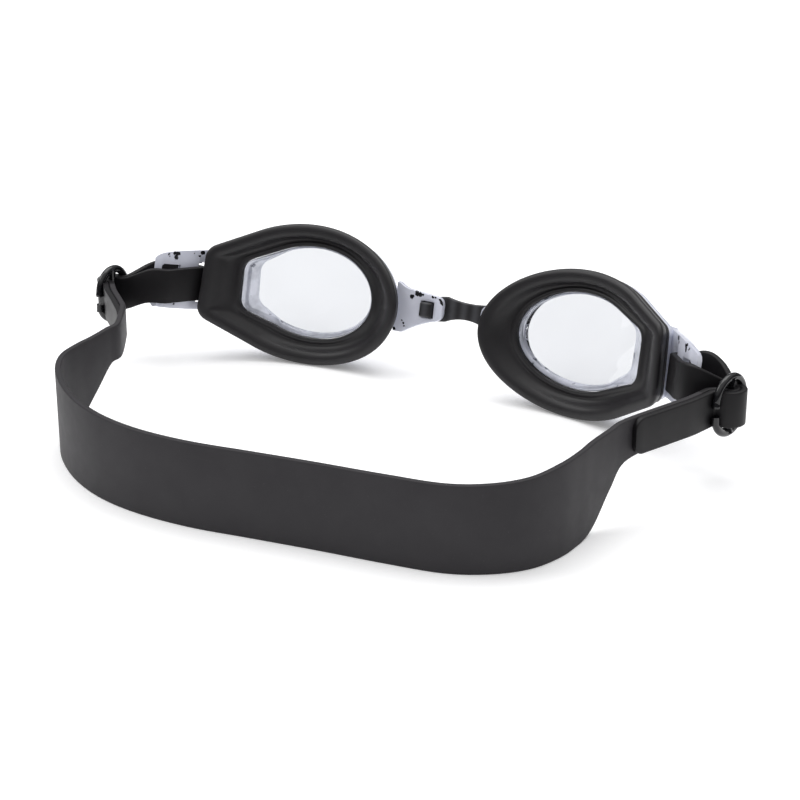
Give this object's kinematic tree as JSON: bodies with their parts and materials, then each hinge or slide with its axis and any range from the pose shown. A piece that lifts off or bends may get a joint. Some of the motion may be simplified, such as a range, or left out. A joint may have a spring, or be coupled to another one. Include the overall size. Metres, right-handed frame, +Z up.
{
  "type": "swim goggles",
  "caption": "Children's swim goggles with clear eyecups, soft silicone seals, a pegged nose bridge and a wide head strap held by slide buckles.",
  "frame": {"origin": "middle of the object's bounding box, on the surface it stands on", "axes": "+X to the wearer's right, +Y the way the wearer looks, +Z up"},
  "size_m": [0.1688, 0.1083, 0.0341],
  "materials": {
    "seal_silicone": "matte charcoal silicone",
    "clear_lens": "clear moulded polycarbonate",
    "printed_frame": "glossy pale print with irregular black marks",
    "bridge_silicone": "satin dark grey silicone",
    "strap_silicone": "matte charcoal silicone",
    "buckle_plastic": "glossy black"
  },
  "bodies": {
    "left_eyecup": {"left_frame": "printed_frame", "left_lens": "clear_lens", "left_gasket": "seal_silicone", "nose_bridge": "bridge_silicone", "head_strap": "strap_silicone"},
    "right_eyecup": {"right_frame": "printed_frame", "right_lens": "clear_lens", "right_gasket": "seal_silicone"},
    "left_slide_buckle": {"left_buckle": "buckle_plastic"},
    "right_slide_buckle": {"right_buckle": "buckle_plastic"}
  },
  "joints": [
    {"name": "bridge_flex", "type": "hinge", "parent": "left_eyecup", "child": "right_eyecup", "pos_m": [0.0041, 0.049, 0.0176], "axis": [0, 0.2419, 0.9703], "range_deg": [-20, 12], "stiffness_Nm_per_rad": 0.05, "deforming": ["nose_bridge", "head_strap"]},
    {"name": "left_buckle_slide", "type": "slide", "parent": "left_eyecup", "child": "left_slide_buckle", "axis": [0.7071, -0.7071, 0], "range_m": [0, 0.012], "deforming": ["head_strap"]},
    {"name": "right_buckle_slide", "type": "slide", "parent": "right_eyecup", "child": "right_slide_buckle", "axis": [-0.3907, -0.9205, 0], "range_m": [0, 0.012], "deforming": ["head_strap"]}
  ]
}
